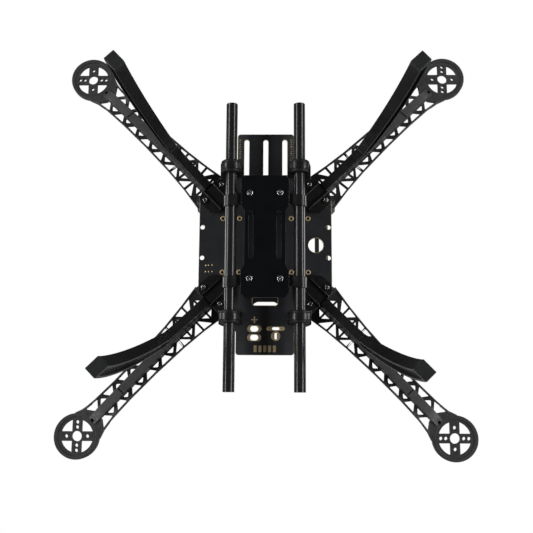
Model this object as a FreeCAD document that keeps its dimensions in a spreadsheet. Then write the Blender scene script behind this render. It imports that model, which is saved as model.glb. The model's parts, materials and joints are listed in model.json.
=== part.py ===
"""Airframe kit of a 500 mm class quadcopter, modelled as it comes apart on a bench.

Frame: +Z up, +Y towards the slotted nose of the lower plate, origin on the ground
under the middle of the airframe, which stands on its four legs.  Millimetres.

Each arm and each leg is drawn once in its own radial frame, where X runs outward
along the arm and Y across it, and its Placement turns it to its corner.
"""
import FreeCAD, Part
import math
import os
import Sketcher

DIMENSIONS = [
    # plates
    ("plate_underside", 131.0, "ground to the lower plate's lower face"),
    ("plate_thickness", 2.0, "both plates"),
    ("arm_root_height", 32.0, "gap between the plates"),
    ("body_half_width", 58.8, "straight sides of both plates"),
    ("body_corner", 40.0, "where the straight sides end and the corner cut starts"),
    ("nose_reach", 101.4, "front edge of the lower plate"),
    ("tail_reach", 97.8, "rear edge of the lower plate"),
    ("tab_half_width", 25.4, "nose and tail tabs"),
    ("strap_slot_width", 4.4, "three strap slots in the nose"),
    ("strap_slot_pitch", 17.2, "between strap slots"),
    ("cable_hole_radius", 6.6, "round cable hole beside the right rail"),
    ("board_hole_radius", 1.6, "M3 holes in both plates and in the legs"),
    ("side_hole_radius", 2.0, "four holes at the sides of the lower plate"),
    ("via_radius", 1.3, "plated holes around the battery tray"),
    ("via_ring_radius", 2.3, "gold ring round a plated hole"),
    ("gold_thickness", 0.12, "gold standing proud of the lower face"),
    ("window_front", 38.0, "front edge of the tail window, behind the centre"),
    ("window_rear", 54.6, "its rear edge"),
    ("window_half_width", 11.0, "to each side of the centre plane"),
    ("upper_front", 73.2, "front edge of the upper plate"),
    ("upper_notch", 47.7, "notch in the upper plate's rear edge, behind the centre"),
    # arms
    ("motor_reach", 240.0, "frame centre to a motor axis"),
    ("motor_ring_radius", 20.5, "outside of a motor ring"),
    ("motor_recess_radius", 17.4, "hollow under a motor ring"),
    ("motor_ring_underside", 165.0, "ground to the rim of a motor ring"),
    ("motor_face", 170.0, "ground to the face a motor sits on"),
    ("motor_floor_thickness", 4.2, "spoked floor of a motor ring"),
    ("motor_window_radius", 14.9, "outer edge of the four windows"),
    ("spoke_half_width", 4.2, "four spokes of a motor ring"),
    ("motor_bore_radius", 4.6, "shaft hole in the middle of the spokes"),
    ("motor_screw_radius", 1.6, "motor screw holes"),
    ("motor_screws_near", 16.0, "first bolt line, hole to hole"),
    ("motor_screws_far", 25.0, "second bolt line, hole to hole"),
    ("motor_screws_cross", 19.0, "bolt line on the other two spokes"),
    ("spine_half_width", 4.0, "deep rib along the middle of an arm"),
    ("root_start", 44.0, "inner face of an arm's boxed root"),
    ("root_length", 28.4, "boxed root along the arm"),
    ("root_half_low", 15.5, "half width of the root on the lower plate"),
    ("root_half_high", 19.0, "half width of the root under the upper plate"),
    ("hollow_half_low", 6.0, "hollow of the root, at its foot"),
    ("hollow_half_high", 8.0, "hollow of the root, at its top"),
    ("hollow_depth", 25.0, "hollow of the root, from its inner face"),
    # rails and tray
    ("rail_radius", 5.0, "10 mm carbon tube"),
    ("rail_bore_radius", 4.0, "inside of the tube"),
    ("rail_rear_end", 129.2, "behind the centre"),
    ("rail_front_end", 124.3, "ahead of the centre"),
    ("rail_half_gauge", 30.0, "centre plane to a rail's axis"),
    ("rail_drop", 14.0, "lower plate's lower face down to a rail's axis"),
    ("running_clearance", 0.05, "radial, rail in its rings and clamps"),
    ("hanger_radius", 9.4, "outside of a hanger's eye"),
    ("hanger_eye_radius", 7.6, "inside of a hanger's eye"),
    ("hanger_width", 5.8, "along the rail"),
    ("hanger_reach", 66.0, "centre plane to a hanger"),
    ("ring_lip_radius", 8.8, "lips of the rubber ring"),
    ("ring_length", 11.0, "rubber ring along the rail"),
    ("clamp_radius", 6.3, "outside of a tray clamp"),
    ("clamp_width", 9.6, "along the rail"),
    ("clamp_front_reach", 35.0, "centre plane to the front clamps"),
    ("clamp_rear_reach", 36.5, "centre plane to the rear clamps"),
    ("tray_underside", 110.0, "ground to the battery tray"),
    ("tray_thickness", 2.0, "battery tray"),
    # legs
    ("leg_half_width", 4.0, "at the top"),
    ("leg_foot_half_width", 4.9, "at the ground"),
    ("leg_web_half", 1.8, "web between the two flanges of a leg"),
    ("leg_flange_thickness", 3.0, "pad screwed under the lower plate"),
    ("foot_thickness", 2.5, "rubber pad under a leg"),
    ("foot_start", 151.4, "inner edge of a foot"),
    ("foot_length", 12.4, "foot along the arm"),
    ("lean_front_right", 1.3, "degrees a leg is turned on its screws, in plan"),
    ("lean_front_left", 1.9, "the same"),
    ("lean_rear_left", 0.5, "the same"),
    ("lean_rear_right", 0.6, "the same"),
    ("spread_front_right", -1.2, "foot moved outward from its drawn place"),
    ("spread_front_left", 2.4, "the same"),
    ("spread_rear_left", 0.7, "the same"),
    ("spread_rear_right", 0.6, "the same"),
    # fasteners
    ("leg_screw_reach", 65.5, "leg and arm screws from the centre, along the arm"),
    ("leg_screw_offset", 10.3, "to each side of the arm's middle"),
    ("top_screw_inner", 51.0, "inner pair of the upper plate's screws"),
    ("top_screw_outer", 67.0, "outer pair of the upper plate's screws"),
    ("top_screw_offset", 13.0, "to each side of the arm's middle"),
    ("tray_screw_offset", 13.1, "to each side of the centre plane"),
    ("tray_screw_front", 41.1, "front tray screws"),
    ("tray_screw_rear", 33.9, "rear tray screws"),
    ("hanger_screw_offset", 8.3, "to each side of a rail's axis"),
]

CORNERS = [("front_right", 45.0), ("front_left", 135.0), ("rear_left", 225.0), ("rear_right", 315.0)]

doc = FreeCAD.newDocument("Airframe")
sheet = doc.addObject("Spreadsheet::Sheet", "Sizes")
for row, (alias, value, meaning) in enumerate(DIMENSIONS, start=1):
    sheet.set(f"A{row}", alias)
    sheet.set(f"B{row}", str(value))
    sheet.set(f"C{row}", meaning)
    sheet.setAlias(f"B{row}", alias)
doc.recompute()


def size(alias):
    """A driving dimension, read back from the sheet."""
    return float(sheet.get(alias))


def bind(item, prop, formula):
    """Bind a property to a formula, in which <alias> stands for a cell of the sheet."""
    item.setExpression(prop, formula.replace("<", "Sizes.").replace(">", ""))


PLATE_TOP = size("plate_underside") + size("plate_thickness")
UPPER_UNDERSIDE = PLATE_TOP + size("arm_root_height")
UPPER_TOP = UPPER_UNDERSIDE + size("plate_thickness")
RAIL_AXIS = size("plate_underside") - size("rail_drop")
PARTS = []


# ---------------------------------------------------------------- drawing helpers

def keep(item, label):
    """Name a finished sub-part and list it for export."""
    item.Label = label
    PARTS.append(item)
    return item


def vector(point, height=0.0):
    return FreeCAD.Vector(point[0], point[1], height)


def closed_outline(points, radius=0.0):
    """Lines round a closed polygon, its corners turned into arcs of the given radius."""
    corners = [vector(point) for point in points]
    edges = []
    starts = []
    ends = []
    for index, corner in enumerate(corners):
        before = corners[index - 1] - corner
        after = corners[(index + 1) % len(corners)] - corner
        if radius <= 0.0:
            starts.append(corner)
            ends.append(corner)
            continue
        half = before.getAngle(after) / 2.0
        trim = min(radius / math.tan(half), 0.45 * before.Length, 0.45 * after.Length)
        depth = trim * math.tan(half) * (1.0 / math.sin(half) - 1.0)
        first = corner + before.normalize() * trim
        last = corner + after.normalize() * trim
        middle = corner + (first + last - corner * 2.0).normalize() * depth
        starts.append(first)
        ends.append(last)
        edges.append(Part.Arc(first, middle, last))
    for index in range(len(corners)):
        here = ends[index]
        there = starts[(index + 1) % len(corners)]
        if here.distanceToPoint(there) > 1e-6:
            edges.append(Part.LineSegment(here, there))
    return edges


def slot_outline(centre, length, width, angle=0.0):
    """A slot with round ends, its length along the given angle in degrees."""
    reach = (length - width) / 2.0
    half = width / 2.0
    turn = FreeCAD.Rotation(FreeCAD.Vector(0, 0, 1), angle)
    middle = vector(centre)
    corners = [(-reach, -half), (reach, -half), (reach, half), (-reach, half)]
    placed = [middle + turn.multVec(vector(corner)) for corner in corners]
    far = middle + turn.multVec(vector((reach + half, 0)))
    near = middle + turn.multVec(vector((-reach - half, 0)))
    return [
        Part.LineSegment(placed[0], placed[1]),
        Part.Arc(placed[1], far, placed[2]),
        Part.LineSegment(placed[2], placed[3]),
        Part.Arc(placed[3], near, placed[0]),
    ]


def new_body(label, turn=0.0):
    body = doc.addObject("PartDesign::Body", label)
    body.Placement = FreeCAD.Placement(
        FreeCAD.Vector(0, 0, 0), FreeCAD.Rotation(FreeCAD.Vector(0, 0, 1), turn))
    return keep(body, label)


def new_sketch(body, name, plane="XY_Plane", lift=None):
    """A sketch on one of the body's own planes, lifted along the plane's normal by a formula."""
    sketch = body.newObject("Sketcher::SketchObject", name)
    origin_plane = [item for item in body.Origin.OriginFeatures if item.Role == plane][0]
    sketch.AttachmentSupport = (origin_plane, [""])
    sketch.MapMode = "FlatFace"
    if lift is not None:
        bind(sketch, ".AttachmentOffset.Base.z", lift)
    return sketch


def draw(sketch, *outlines):
    for outline in outlines:
        sketch.addGeometry(outline, False)
    return sketch


def draw_circles(sketch, centres, radius):
    """Circles whose radius follows a cell of the sheet."""
    for centre in centres:
        circle = Part.Circle(vector(centre), FreeCAD.Vector(0, 0, 1), size(radius))
        index = sketch.addGeometry(circle, False)
        rule = sketch.addConstraint(Sketcher.Constraint("Radius", index, size(radius)))
        bind(sketch, f"Constraints[{rule}]", f"<{radius}>")
    return sketch


def pad(body, sketch, length, name, both_sides=False, reverse=False):
    feature = body.newObject("PartDesign::Pad", name)
    feature.Profile = sketch
    feature.Midplane = both_sides
    feature.Reversed = reverse
    bind(feature, "Length", length)
    return feature


def pocket(body, sketch, length, name, upward=False, both_sides=False):
    """A cut along the sketch's normal; upward turns it towards the normal instead of against it."""
    feature = body.newObject("PartDesign::Pocket", name)
    feature.Profile = sketch
    feature.Reversed = upward
    feature.Midplane = both_sides
    bind(feature, "Length", length)
    return feature


def mirrored(points):
    """A half outline on the +Y side, closed by its mirror image on the -Y side."""
    return points + [(x, -y) for x, y in reversed(points)]


def both_hands(points):
    """The +X half of an outline, from front to rear, closed by its mirror image."""
    return points + [(-x, y) for x, y in reversed(points)]


def corner_place(reach, offset, turn):
    """Plan position of a point given along and across an arm."""
    angle = math.radians(turn)
    x = reach * math.cos(angle) - offset * math.sin(angle)
    y = reach * math.sin(angle) + offset * math.cos(angle)
    return (x, y)


def at_every_corner(reach, offset):
    """Plan positions of a symmetric pair of points on each of the four arms."""
    places = []
    for _, turn in CORNERS:
        places.append(corner_place(reach, offset, turn))
        places.append(corner_place(reach, -offset, turn))
    return places


LEG_SCREWS = at_every_corner(size("leg_screw_reach"), size("leg_screw_offset"))
TOP_SCREWS = (at_every_corner(size("top_screw_inner"), size("top_screw_offset"))
              + at_every_corner(size("top_screw_outer"), size("top_screw_offset")))
HANGER_SCREWS = [
    (side * size("rail_half_gauge") + step * size("hanger_screw_offset"), end * size("hanger_reach"))
    for side in (-1, 1) for end in (-1, 1) for step in (-1, 1)]
TRAY_SCREWS = [
    (side * size("tray_screw_offset"), y)
    for side in (-1, 1) for y in (size("tray_screw_front"), -size("tray_screw_rear"))]
VIAS = [(side * x, y) for side in (-1, 1) for x in (37.7, 22.9) for y in (23.1, -25.3)]
SIDE_HOLES = [(x, y) for x in (-56.0, 56.0) for y in (15.2, -12.4)]
CABLE_HOLE = (-44.7, -1.0)

# Where the tabs of the lower plate spring from its body, and where its shoulders end.
TAB_ROOT = 77.0
SHOULDER_REACH = 71.5

# Gold on the tail: two plus pads on the right, a minus slot and a minus disc on the left, and
# the slots that run through them, as length and width.
PLUS_PADS = [(9.2, -75.0), (9.2, -82.6)]
PLUS_PAD = (12.4, 6.2)
PLUS_SLOT = (7.0, 5.0)
MINUS_PLACE = (-9.4, -74.8)
MINUS_PAD = (16.0, 3.7)
MINUS_SLOT = (6.2, 2.6)
DISC_PLACE = (-9.4, -81.3)
DISC_PAD = (8.4, 8.2)
DISC_SLOT = (5.6, 1.9)
PLUS_SIGN = (9.2, -67.2)
BAR_PITCH = 4.2
BAR_HALF = 1.3
BAR_FRONT = -89.4
BAR_REAR = -95.2

# Radii of the screw holes, and of the brass inserts in the arm roots.
M3_HOLE = size("board_hole_radius")
UPPER_SCREW_HOLE = 1.35
LEG_HOLE = 1.85
HANGER_HOLE = 1.1
INSERT_RADIUS = 2.1
TOP_INSERT_RADIUS = 1.8
INSERT_DEPTH = 7.0

# Lug of a tray clamp, and the tongue that reaches it from the rail.
LUG_THICKNESS = 3.0
LUG_HALF = 4.3
TONGUE_END = 19.8
TONGUE_LEAN = 2.4
CUT_LENGTH = "30"


def group(label, makers):
    """Like pieces as one sub-part of separate solids."""
    item = doc.addObject("Part::Compound", label)
    item.Links = makers
    keep(item, label)


# ---------------------------------------------------------------- plates

def lower_plate():
    """Printed board: an octagonal body with a slotted nose and a tail that takes the battery leads."""
    body = new_body("lower_plate")
    side = size("body_half_width")
    corner = size("body_corner")
    tab = size("tab_half_width")
    shoulder = corner + 0.5
    right = [
        (tab, size("nose_reach")), (tab, TAB_ROOT), (shoulder, SHOULDER_REACH), (shoulder, side),
        (side, corner), (side, -corner),
        (shoulder, -side), (shoulder, -SHOULDER_REACH), (tab, -TAB_ROOT), (tab, -size("tail_reach")),
    ]
    outline = new_sketch(body, "lower_outline", lift="<plate_underside>")
    draw(outline, closed_outline(both_hands(right), 2.5))
    pad(body, outline, "<plate_thickness>", "lower_slab")

    openings = new_sketch(body, "lower_openings", lift="<plate_underside>")
    for step in (-1, 0, 1):
        slot = slot_outline((step * size("strap_slot_pitch"), 72.4), 48.0, size("strap_slot_width"), 90.0)
        draw(openings, slot)
    draw(openings, window_outline(0.0))
    for centre in PLUS_PADS:
        draw(openings, slot_outline(centre, *PLUS_SLOT))
    draw(openings, slot_outline(MINUS_PLACE, *MINUS_SLOT))
    draw(openings, slot_outline(DISC_PLACE, *DISC_SLOT, 90.0))
    draw_circles(openings, [CABLE_HOLE], "cable_hole_radius")
    draw_circles(openings, SIDE_HOLES, "side_hole_radius")
    draw_circles(openings, VIAS, "via_radius")
    pocket(body, openings, "<plate_thickness>", "lower_cuts", upward=True)

    holes = new_sketch(body, "lower_screw_holes", lift="<plate_underside>")
    draw_screw_holes(holes, LEG_SCREWS, M3_HOLE)
    draw_screw_holes(holes, HANGER_SCREWS, HANGER_HOLE)
    pocket(body, holes, "<plate_thickness>", "lower_screw_cuts", upward=True)


def window_outline(margin):
    """The tail window, grown by a margin."""
    half = size("window_half_width") + margin
    front = margin - size("window_front")
    rear = -size("window_rear") - margin
    return closed_outline([(-half, rear), (half, rear), (half, front), (-half, front)], 2.2 + margin)


def draw_screw_holes(sketch, centres, radius):
    for centre in centres:
        draw(sketch, Part.Circle(vector(centre), FreeCAD.Vector(0, 0, 1), radius))


def upper_plate():
    """Cover plate over the arm roots, with strap slots at the sides and a notched rear edge."""
    body = new_body("upper_plate")
    side = size("body_half_width") - 1.1
    corner = size("body_corner") - 0.4
    notch = -size("upper_notch")
    right = [
        (27.0, size("upper_front")), (corner, side), (side, corner), (side, -corner), (corner, -side),
        (24.0, -57.5), (13.6, -53.0), (10.6, -49.2), (7.7, notch),
    ]
    lift = "<plate_underside> + <plate_thickness> + <arm_root_height>"
    outline = draw(new_sketch(body, "upper_outline", lift=lift), closed_outline(both_hands(right), 1.6))
    pad(body, outline, "<plate_thickness>", "upper_slab")

    openings = new_sketch(body, "upper_openings", lift=lift)
    for hand in (-1, 1):
        draw(openings, slot_outline((hand * 42.2, 0.0), 30.0, 6.6, 90.0))
        draw(openings, slot_outline((hand * 52.3, 0.0), 30.0, 5.6, 90.0))
        draw(openings, slot_outline((hand * 18.0, 42.0), 24.0, 4.0, 90.0))
        draw(openings, slot_outline((hand * 18.0, -36.0), 14.0, 4.0, 90.0))
    draw(openings, closed_outline([(-9, -9), (9, -9), (9, 9), (-9, 9)], 2.0))
    for half in (22.5, 15.25):
        draw_screw_holes(openings, [(x, y) for x in (-half, half) for y in (-half, half)], M3_HOLE)
    pocket(body, openings, "<plate_thickness>", "upper_cuts", upward=True)

    holes = new_sketch(body, "upper_screw_holes", lift=lift)
    draw_screw_holes(holes, TOP_SCREWS, UPPER_SCREW_HOLE)
    pocket(body, holes, "<plate_thickness>", "upper_screw_cuts", upward=True)


def circle(centre, radius):
    return [Part.Circle(vector(centre), FreeCAD.Vector(0, 0, 1), radius)]


def plus_outline(centre, reach, half):
    """A plus sign with arms of the given reach and half width."""
    quarter = [(half, half), (half, reach), (-half, reach)]
    points = []
    for turn in range(4):
        cosine = round(math.cos(turn * math.pi / 2.0))
        sine = round(math.sin(turn * math.pi / 2.0))
        for x, y in quarter:
            points.append((centre[0] + x * cosine - y * sine, centre[1] + x * sine + y * cosine))
    return closed_outline(points)


def gold_solids():
    """Plated copper on the lower face: battery pads, a plus sign, rings and plain bars."""
    cable_radius = size("cable_hole_radius")
    shapes = [
        ("minus_slot_pad", [slot_outline(MINUS_PLACE, *MINUS_PAD), slot_outline(MINUS_PLACE, *MINUS_SLOT)]),
        ("minus_disc_pad", [
            slot_outline(DISC_PLACE, *DISC_PAD, 90.0), slot_outline(DISC_PLACE, *DISC_SLOT, 90.0)]),
        ("window_rim", [window_outline(0.6), window_outline(0.0)]),
        ("plus_sign", [plus_outline(PLUS_SIGN, 2.8, 0.55)]),
        ("cable_rim", [circle(CABLE_HOLE, cable_radius + 0.4), circle(CABLE_HOLE, cable_radius)]),
    ]
    for number, centre in enumerate(PLUS_PADS):
        edges = [slot_outline(centre, *PLUS_PAD), slot_outline(centre, *PLUS_SLOT)]
        shapes.append((f"plus_pad_{number}", edges))
    for step in range(5):
        left = (step - 2) * BAR_PITCH - BAR_HALF
        right = left + 2.0 * BAR_HALF
        bar = [(left, BAR_REAR), (right, BAR_REAR), (right, BAR_FRONT), (left, BAR_FRONT)]
        shapes.append((f"bar_{step}", [closed_outline(bar, 0.4)]))
    for number, centre in enumerate(VIAS):
        ring = circle(centre, size("via_ring_radius"))
        shapes.append((f"via_{number}", [ring, circle(centre, size("via_radius"))]))
    pieces = []
    for name, outlines in shapes:
        sketch = doc.addObject("Sketcher::SketchObject", f"gold_{name}_sketch")
        draw(sketch, *outlines)
        bind(sketch, ".Placement.Base.z", "<plate_underside> - <gold_thickness>")
        piece = doc.addObject("Part::Extrusion", f"gold_{name}")
        piece.Base = sketch
        piece.DirMode = "Custom"
        piece.Dir = FreeCAD.Vector(0, 0, 1)
        piece.Solid = True
        bind(piece, "LengthFwd", "<gold_thickness>")
        pieces.append(piece)
    group("gold_pads", pieces)


# ---------------------------------------------------------------- arms

# Stations along an arm: reach, rail half width, and the heights of the spine's underside,
# of the lattice's underside at the spine and at the rail, and of the spine's top.
STATIONS = [
    (70.0, 18.6, 133.0, 147.5, 144.5, 163.0),
    (92.0, 15.3, 136.6, 150.0, 146.3, 160.5),
    (115.0, 13.1, 140.8, 152.6, 149.2, 161.0),
    (150.0, 11.5, 147.0, 156.6, 153.6, 163.5),
    (182.0, 11.2, 152.6, 160.2, 158.0, 166.5),
    (206.0, 12.0, 157.6, 163.0, 161.6, 168.4),
    (214.0, 12.8, 160.4, 164.4, 163.2, 169.2),
    (221.0, 13.9, 164.2, 165.4, 165.0, 170.0),
]
RAIL_HEIGHT = 4.0
RAIL_WIDTH = 1.6
PANEL_THICKNESS = 2.4
SPINE_WALL = 1.4
SPINE_FLOOR = 2.0

# Lattice windows along an arm: middle, half of the long edge, half of the short edge.
# The large ones have their long edge on the rail, the small ones on the spine.
LARGE_WINDOWS = [
    (92.0, 9.9, 1.4), (114.8, 9.2, 1.5), (134.7, 6.0, 1.5), (153.4, 6.1, 1.6), (172.2, 5.8, 1.6),
    (191.2, 6.1, 1.7), (211.2, 7.4, 1.8)]
SMALL_WINDOWS = [
    (79.9, 6.8, 1.2), (103.8, 6.2, 1.2), (125.7, 4.4, 0.5), (144.2, 4.1, 0.5), (163.5, 3.7, 0.5),
    (182.2, 3.5, 0.5), (201.4, 4.3, 0.5)]
SPLIT_BEFORE = 120.0
CROSS_STRUT_HALF = 1.0


def rail_half_width(reach):
    """Half width of an arm between two stations."""
    for near, far in zip(STATIONS, STATIONS[1:]):
        if near[0] <= reach <= far[0]:
            share = (reach - near[0]) / (far[0] - near[0])
            return near[1] + share * (far[1] - near[1])
    return STATIONS[0][1] if reach < STATIONS[0][0] else STATIONS[-1][1]


def arm_section(half_width, spine_low, wing_low, rail_low, spine_high):
    """Open cross-section: a deep channel spine, a lattice panel on each side and its rail."""
    spine = size("spine_half_width")
    rail_inner = half_width - RAIL_WIDTH
    panel_low = rail_low + 0.5
    rail_high = rail_low + RAIL_HEIGHT
    half = [
        (spine, spine_low), (spine, wing_low), (rail_inner, panel_low), (rail_inner, rail_low),
        (half_width, rail_low), (half_width, rail_high), (rail_inner, rail_high),
        (rail_inner, panel_low + PANEL_THICKNESS), (spine, wing_low + PANEL_THICKNESS), (spine, spine_high),
        (spine - SPINE_WALL, spine_high), (spine - SPINE_WALL, spine_low + SPINE_FLOOR),
    ]
    other = [(-across, height) for across, height in reversed(half)]
    return half + other


def large_window(middle, base, tip):
    """Corners of a window whose long edge runs along the rail."""
    spine_edge = size("spine_half_width") + 0.2
    return [
        (middle - base, rail_half_width(middle - base) - RAIL_WIDTH),
        (middle + base, rail_half_width(middle + base) - RAIL_WIDTH),
        (middle + tip, spine_edge), (middle - tip, spine_edge)]


def small_window(middle, base, tip):
    """Corners of a window whose long edge runs along the spine."""
    spine_edge = size("spine_half_width") + 0.7
    height = 0.95 * (base - tip)
    return [
        (middle - base, spine_edge), (middle + base, spine_edge),
        (middle + tip, spine_edge + height), (middle - tip, spine_edge + height)]


def halves(corners, middle):
    """A four-cornered window divided by a strut across the arm."""
    near, far, far_tip, near_tip = corners
    parts = []
    for hand, base, tip in ((-1, near, near_tip), (1, far, far_tip)):
        strut = middle + hand * CROSS_STRUT_HALF
        level = (near[1] + far[1]) / 2.0
        parts.append([base, (strut, level), (strut, tip[1]), tip])
    return parts


def lattice_windows():
    """All windows of both side panels, in the arm's own frame."""
    outlines = []
    for windows, corners_of in ((LARGE_WINDOWS, large_window), (SMALL_WINDOWS, small_window)):
        for middle, base, tip in windows:
            corners = corners_of(middle, base, tip)
            pieces = halves(corners, middle) if middle < SPLIT_BEFORE else [corners]
            for piece in pieces:
                for side in (-1, 1):
                    outlines.append(closed_outline([(x, side * y) for x, y in piece], 0.45))
    return outlines


def motor_windows(reach):
    """Four quarter windows between the spokes, which stand at 45 degrees to the arm."""
    half = size("spoke_half_width")
    outer = size("motor_window_radius")
    along = math.sqrt(outer ** 2 - half ** 2)
    start = math.atan2(half, along)
    windows = []
    for quarter in range(4):
        turn = FreeCAD.Rotation(FreeCAD.Vector(0, 0, 1), 45.0 + 90.0 * quarter)
        centre = FreeCAD.Vector(reach, 0, 0)
        corner = centre + turn.multVec(FreeCAD.Vector(half, half, 0))
        first = centre + turn.multVec(FreeCAD.Vector(along, half, 0))
        last = centre + turn.multVec(FreeCAD.Vector(half, along, 0))
        middle = centre + turn.multVec(FreeCAD.Vector(outer, 0, 0) * math.cos(math.pi / 4)
                                       + FreeCAD.Vector(0, outer, 0) * math.sin(math.pi / 4))
        windows.append([
            Part.LineSegment(corner, first), Part.Arc(first, middle, last), Part.LineSegment(last, corner)])
    return windows


def motor_screw_places(reach):
    """Screw holes on the spokes: two bolt lines on one pair of spokes, one on the other."""
    diagonal = math.sqrt(0.5)
    places = []
    for sign in (-1, 1):
        for spacing in (size("motor_screws_near"), size("motor_screws_far")):
            step = sign * spacing / 2.0 * diagonal
            places.append((reach + step, -step))
        step = sign * size("motor_screws_cross") / 2.0 * diagonal
        places.append((reach + step, step))
    return places


def arm(label, turn):
    """Moulded arm: boxed root, open lattice beam rising outward, and a spoked motor ring."""
    body = new_body(f"arm_{label}", turn)
    root = new_sketch(body, f"{label}_root", "YZ_Plane", "<root_start>")
    draw(root, root_outline(size("root_half_low"), size("root_half_high"), 0.0, 0.0))
    pad(body, root, "<root_length>", f"{label}_root_block")

    profiles = []
    for number, (reach, *shape) in enumerate(STATIONS):
        sketch = new_sketch(body, f"{label}_station_{number}", "YZ_Plane", str(reach))
        profiles.append(draw(sketch, closed_outline(arm_section(*shape))))
    beam = body.newObject("PartDesign::AdditiveLoft", f"{label}_beam")
    beam.Profile = profiles[0]
    beam.Sections = profiles[1:]
    beam.Ruled = True

    motor_ring(body, label)
    lattice = draw(new_sketch(body, f"{label}_lattice", lift="<plate_underside>"), *lattice_windows())
    pocket(body, lattice, "60", f"{label}_lattice_cuts", upward=True)
    hollow = new_sketch(body, f"{label}_root_hollow", "YZ_Plane", "<root_start> - 4")
    draw(hollow, root_outline(size("hollow_half_low"), size("hollow_half_high"), 3.0, 1.5))
    pocket(body, hollow, "<hollow_depth> + 4", f"{label}_root_hollow_cut", upward=True)
    notch = new_sketch(body, f"{label}_spine_notch", lift="<plate_underside>")
    draw(notch, closed_outline([(181.4, -5.0), (182.8, -5.0), (182.8, 5.0), (181.4, 5.0)]))
    pocket(body, notch, "22.9", f"{label}_spine_notch_cut", upward=True)
    square = new_sketch(body, f"{label}_square_hole", lift="<plate_underside>")
    draw(square, closed_outline([(218.7, -1.3), (221.3, -1.3), (221.3, 1.3), (218.7, 1.3)]))
    pocket(body, square, "36.4", f"{label}_square_pocket", upward=True)
    insert_holes(body, label)


def root_outline(half_low, half_high, margin, radius):
    """A trapezium between the plates, wider at the top, kept clear of both by a margin."""
    low = PLATE_TOP + margin
    high = UPPER_UNDERSIDE - margin
    return closed_outline([(-half_low, low), (half_low, low), (half_high, high), (-half_high, high)], radius)


def motor_ring(body, label):
    """The ring at an arm's tip, its spoked floor and the neck that joins it to the beam."""
    reach = size("motor_reach")
    rim_low = "<motor_ring_underside>"
    height = "<motor_face> - <motor_ring_underside>"
    neck = mirrored([(215.5, 0.0), (211.0, 12.2), (219.0, 13.5), (227.0, 16.4)])[:-1]
    neck_sketch = draw(new_sketch(body, f"{label}_neck_outline", lift=rim_low), closed_outline(neck))
    pad(body, neck_sketch, height, f"{label}_neck")
    rim = draw_circles(new_sketch(body, f"{label}_rim", lift=rim_low), [(reach, 0)], "motor_ring_radius")
    pad(body, rim, height, f"{label}_ring")
    recess = new_sketch(body, f"{label}_recess", lift=f"{rim_low} - 4")
    draw_circles(recess, [(reach, 0)], "motor_recess_radius")
    pocket(body, recess, f"{height} - <motor_floor_thickness> + 4", f"{label}_hollow", upward=True)
    windows = draw(new_sketch(body, f"{label}_windows", lift=rim_low), *motor_windows(reach))
    draw_circles(windows, [(reach, 0)], "motor_bore_radius")
    draw_circles(windows, motor_screw_places(reach), "motor_screw_radius")
    pocket(body, windows, height, f"{label}_window_cuts", upward=True)


def insert_holes(body, label):
    """Blind holes for the brass inserts, from below and from above."""
    low = new_sketch(body, f"{label}_low_insert_holes", lift="<plate_underside> + <plate_thickness>")
    places = [(size("leg_screw_reach"), side * size("leg_screw_offset")) for side in (-1, 1)]
    draw_screw_holes(low, places, INSERT_RADIUS)
    pocket(body, low, str(INSERT_DEPTH), f"{label}_low_insert_cuts", upward=True)
    high = new_sketch(body, f"{label}_high_insert_holes",
                      lift="<plate_underside> + <plate_thickness> + <arm_root_height>")
    reaches = (size("top_screw_inner"), size("top_screw_outer"))
    places = [(reach, side * size("top_screw_offset")) for reach in reaches for side in (-1, 1)]
    draw_screw_holes(high, places, TOP_INSERT_RADIUS)
    pocket(body, high, str(INSERT_DEPTH), f"{label}_high_insert_cuts")


# ---------------------------------------------------------------- legs

# A leg drawn along +X. The flange is a plan, and the rest are side views, from the plate down
# on the inner face and from the foot up on the outer one.
LEG_FLANGE = [(48.3, 8.6), (55.7, 14.8), (66.0, 15.8), (71.0, 12.4), (73.0, 6.6)]
LEG_RIB = [(50.0, 4.6), (72.5, 5.0), (72.5, 6.4), (50.0, 6.0)]
RIB_HEIGHT = 1.6
TAPER_START = 110.0
LEG_INNER = [(72.5, 126.5), (96.0, 124.0), (116.5, 119.0), (139.5, 66.0)]
LEG_OUTER = [(156.0, 62.0), (128.0, 127.0), (100.0, 131.6), (71.0, 131.0)]
LEG_INNER_RIM = [(94.0, 126.6), (106.3, 124.1), (118.2, 120.9), (141.5, 66.9)]
LEG_OUTER_RIM = [(153.9, 61.4), (126.6, 125.0), (111.5, 128.0), (97.0, 129.4)]


def leaning(label, turn):
    """Placement of a leg drawn along +X: turned to its arm, then leaned about its screwed pad."""
    pivot = FreeCAD.Vector(size("leg_screw_reach"), 0, 0)
    upright = FreeCAD.Placement(FreeCAD.Vector(0, 0, 0), FreeCAD.Rotation(FreeCAD.Vector(0, 0, 1), turn))
    lean = FreeCAD.Rotation(FreeCAD.Vector(0, 0, 1), size(f"lean_{label}"))
    return upright.multiply(FreeCAD.Placement(FreeCAD.Vector(0, 0, 0), lean, pivot))


def spread(label, points):
    """Side view points moved outward, more the lower they lie, by the full amount at the ground."""
    drop = size("plate_underside")
    return [(x + size(f"spread_{label}") * (drop - z) / drop, z) for x, z in points]


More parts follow.
